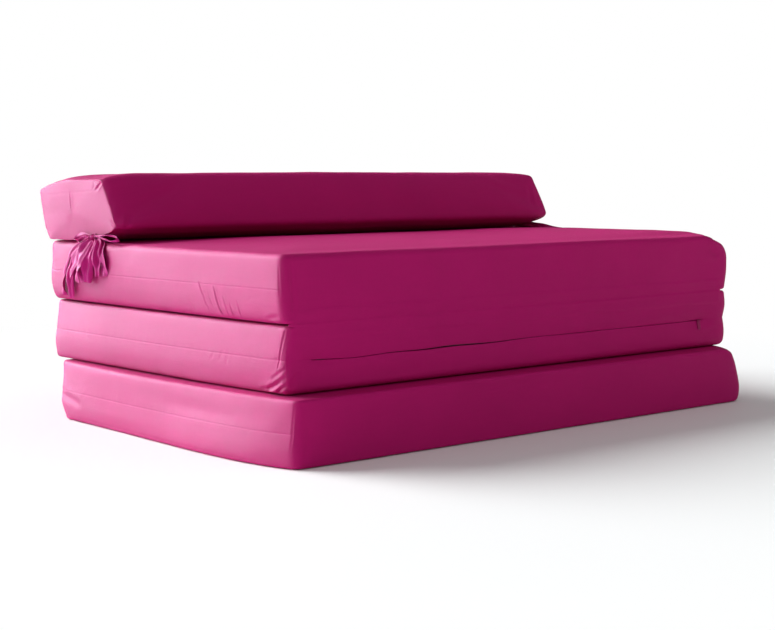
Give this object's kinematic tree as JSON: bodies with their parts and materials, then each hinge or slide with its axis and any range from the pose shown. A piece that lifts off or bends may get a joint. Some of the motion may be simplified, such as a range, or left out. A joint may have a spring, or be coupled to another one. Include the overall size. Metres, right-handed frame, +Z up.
{
  "type": "sofa bed",
  "caption": "Fold-out foam sofa bed: stacked cloth-covered foam blocks hinged in a Z, with a tied-on back bolster, zipped covers and a flat base.",
  "frame": {"origin": "on the floor, at the middle of the folded sofa bed's outline", "axes": "+X along the seat to the sitter's left, seen from the front to the right; -Y is the front; +Z is up"},
  "size_m": [1.0422, 0.698, 0.4097],
  "materials": {
    "cover_fabric": "matte",
    "tie_ribbon": "matte",
    "foam": "matte",
    "zip_tape": "matte",
    "zip_coil": "satin",
    "zip_metal": "satin"
  },
  "bodies": {
    "bottom_block": {"bottom_foam": "foam", "bottom_cover_upper": "cover_fabric", "bottom_cover_lower": "cover_fabric", "bottom_zip_tapes": "zip_tape", "bottom_zip_coils": "zip_coil", "bottom_zip_stops": "zip_metal", "rear_hinge_lower_leaf": "cover_fabric"},
    "middle_block": {"middle_foam": "foam", "middle_cover_upper": "cover_fabric", "middle_cover_lower": "cover_fabric", "middle_zip_tapes": "zip_tape", "middle_zip_coils": "zip_coil", "middle_zip_stops": "zip_metal", "rear_hinge_upper_leaf": "cover_fabric", "front_hinge_lower_leaf": "cover_fabric"},
    "top_block": {"top_foam": "foam", "top_cover_upper": "cover_fabric", "top_cover_lower": "cover_fabric", "top_zip_tapes": "zip_tape", "top_zip_coils": "zip_coil", "top_zip_stops": "zip_metal", "front_hinge_upper_leaf": "cover_fabric", "left_tie_seat_strap": "tie_ribbon", "left_tie_knot": "tie_ribbon", "left_tie_loops": "tie_ribbon", "left_tie_tails": "tie_ribbon", "right_tie_seat_strap": "tie_ribbon", "right_tie_knot": "tie_ribbon", "right_tie_loops": "tie_ribbon", "right_tie_tails": "tie_ribbon"},
    "bolster": {"bolster_foam": "foam", "bolster_wrap": "cover_fabric", "bolster_end_panel_left": "cover_fabric", "bolster_end_panel_right": "cover_fabric", "bolster_zip_tapes": "zip_tape", "bolster_zip_coils": "zip_coil", "bolster_zip_stops": "zip_metal", "left_tie_bolster_strap": "tie_ribbon", "right_tie_bolster_strap": "tie_ribbon"},
    "bottom_slider": {"bottom_zip_slider": "zip_metal"},
    "bottom_pull": {"bottom_zip_pull": "zip_metal"},
    "middle_slider": {"middle_zip_slider": "zip_metal"},
    "middle_pull": {"middle_zip_pull": "zip_metal"},
    "top_slider": {"top_zip_slider": "zip_metal"},
    "top_pull": {"top_zip_pull": "zip_metal"},
    "bolster_slider": {"bolster_zip_slider": "zip_metal"},
    "bolster_pull": {"bolster_zip_pull": "zip_metal"}
  },
  "joints": [
    {"name": "middle_fold", "type": "hinge", "parent": "bottom_block", "child": "middle_block", "pos_m": [0, 0.30775, 0.0996], "axis": [-1, 0, 0], "range_deg": [0, 180]},
    {"name": "top_fold", "type": "hinge", "parent": "middle_block", "child": "top_block", "pos_m": [0, -0.318, 0.1996], "axis": [1, 0, 0], "range_deg": [0, 180]},
    {"name": "bolster_rock", "type": "hinge", "parent": "top_block", "child": "bolster", "pos_m": [-0.005, 0.17825, 0.3056], "axis": [1, 0, 0], "range_deg": [0, 12]},
    {"name": "bottom_zip_slide", "type": "slide", "parent": "bottom_block", "child": "bottom_slider", "axis": [1, 0, 0], "range_m": [0, 0.862]},
    {"name": "bottom_pull_swing", "type": "hinge", "parent": "bottom_slider", "child": "bottom_pull", "pos_m": [-0.4315, 0.28895, 0.0496], "axis": [1, 0, 0], "range_deg": [0, 164]},
    {"name": "middle_zip_slide", "type": "slide", "parent": "middle_block", "child": "middle_slider", "axis": [-1, 0, 0], "range_m": [0, 0.862]},
    {"name": "middle_pull_swing", "type": "hinge", "parent": "middle_slider", "child": "middle_pull", "pos_m": [0.4335, -0.31545, 0.1496], "axis": [-1, 0, 0], "range_deg": [0, 164]},
    {"name": "top_zip_slide", "type": "slide", "parent": "top_block", "child": "top_slider", "axis": [1, 0, 0], "range_m": [0, 0.862]},
    {"name": "top_pull_swing", "type": "hinge", "parent": "top_slider", "child": "top_pull", "pos_m": [-0.4275, 0.32195, 0.2496], "axis": [1, 0, 0], "range_deg": [0, 164]},
    {"name": "bolster_zip_slide", "type": "slide", "parent": "bolster", "child": "bolster_slider", "axis": [1, 0, 0], "range_m": [0, 0.686]},
    {"name": "bolster_pull_swing", "type": "hinge", "parent": "bolster_slider", "child": "bolster_pull", "pos_m": [-0.3485, 0.33934, 0.33595], "axis": [1, 0, 0], "range_deg": [0, 164]}
  ]
}
